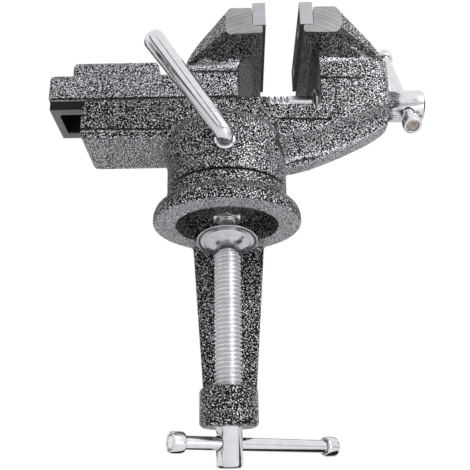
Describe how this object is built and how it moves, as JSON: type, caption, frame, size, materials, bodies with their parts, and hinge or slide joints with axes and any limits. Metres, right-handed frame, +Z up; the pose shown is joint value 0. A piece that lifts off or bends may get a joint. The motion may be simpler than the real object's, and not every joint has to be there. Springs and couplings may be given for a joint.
{
  "type": "clamp-on swivel bench vise",
  "caption": "Small swivel bench vise in hammered paint, with plated jaws, an anvil, a lock lever and a screw clamp that grips the edge of a bench.",
  "frame": {"origin": "on the swivel axis, at the underside of the base ring, where the ring rests on the bench top", "axes": "+Z up along the swivel axis, +X along the spindle towards its handle, -Y towards the person who works the lock lever"},
  "size_m": [0.2358, 0.112, 0.2912],
  "materials": {
    "hammered_paint": "glossy black and silver hammered paint on cast iron",
    "ground_steel": "ground, with fine marks",
    "bright_chrome": "polished",
    "zinc_steel": "bright zinc plate",
    "black_steel": "black oxide",
    "nut_iron": "bare, oiled"
  },
  "bodies": {
    "base": {"clamp_base": "hammered_paint", "swivel_bolt": "black_steel", "swivel_washer": "zinc_steel", "swivel_spring_washer": "zinc_steel", "swivel_nut": "black_steel"},
    "vise": {"vise_body": "hammered_paint", "fixed_jaw_plate": "ground_steel", "fixed_plate_screw_near": "black_steel", "fixed_plate_screw_far": "black_steel", "spindle_thrust_washer": "zinc_steel"},
    "jaw": {"moving_jaw": "hammered_paint", "moving_jaw_plate": "ground_steel", "moving_plate_screw_near": "black_steel", "moving_plate_screw_far": "black_steel", "spindle_nut": "nut_iron"},
    "spindle": {"spindle": "zinc_steel", "spindle_retaining_ring": "black_steel"},
    "spindle_handle": {"spindle_bar": "bright_chrome", "spindle_bar_knob_near": "bright_chrome", "spindle_bar_knob_far": "bright_chrome"},
    "lever": {"lock_stud": "bright_chrome", "lock_lever": "bright_chrome"},
    "clamp_foot": {"clamp_pad_washer": "zinc_steel"},
    "clamp_screw": {"clamp_screw": "zinc_steel"},
    "pad": {"clamp_pad": "zinc_steel"},
    "clamp_handle": {"clamp_bar": "bright_chrome", "clamp_bar_knob_near": "bright_chrome", "clamp_bar_knob_far": "bright_chrome"}
  },
  "joints": [
    {"name": "swivel", "type": "hinge", "parent": "base", "child": "vise", "pos_m": [0, 0, 0.0217], "axis": [0, 0, 1], "continuous": true},
    {"name": "spindle_turn", "type": "hinge", "parent": "vise", "child": "spindle", "pos_m": [0.0588, 0, 0.0815], "axis": [-1, 0, 0], "range_deg": [-3420, 1870]},
    {"name": "jaw_slide", "type": "slide", "parent": "vise", "child": "jaw", "axis": [1, 0, 0], "range_m": [-0.0381, 0.0208]},
    {"name": "spindle_handle_slide", "type": "slide", "parent": "spindle", "child": "spindle_handle", "axis": [0, -0.518, -0.8554], "range_m": [-0.0062, 0.059]},
    {"name": "lock_lever_turn", "type": "hinge", "parent": "vise", "child": "lever", "pos_m": [0, -0.0442, 0.0395], "axis": [0, -1, 0], "range_deg": [-80, 45]},
    {"name": "clamp_feed", "type": "slide", "parent": "base", "child": "clamp_foot", "axis": [0, 0, 1], "range_m": [-0.0521, 0.0016]},
    {"name": "clamp_turn", "type": "hinge", "parent": "clamp_foot", "child": "clamp_screw", "pos_m": [0, 0, -0.0152], "axis": [0, 0, 1], "range_deg": [-6240, 180]},
    {"name": "pad_tilt", "type": "hinge", "parent": "clamp_foot", "child": "pad", "pos_m": [0, 0, -0.0128], "axis": [1, 0, 0], "range_deg": [-1, 23]},
    {"name": "clamp_handle_slide", "type": "slide", "parent": "clamp_screw", "child": "clamp_handle", "axis": [-0.866, -0.5, 0], "range_m": [-0.018, 0.053]}
  ],
  "couplings": [
    {"joint": "jaw_slide", "follows": "spindle_turn", "m_per_rad": 0.00063662},
    {"joint": "clamp_feed", "follows": "clamp_turn", "m_per_rad": 0.00047746}
  ]
}
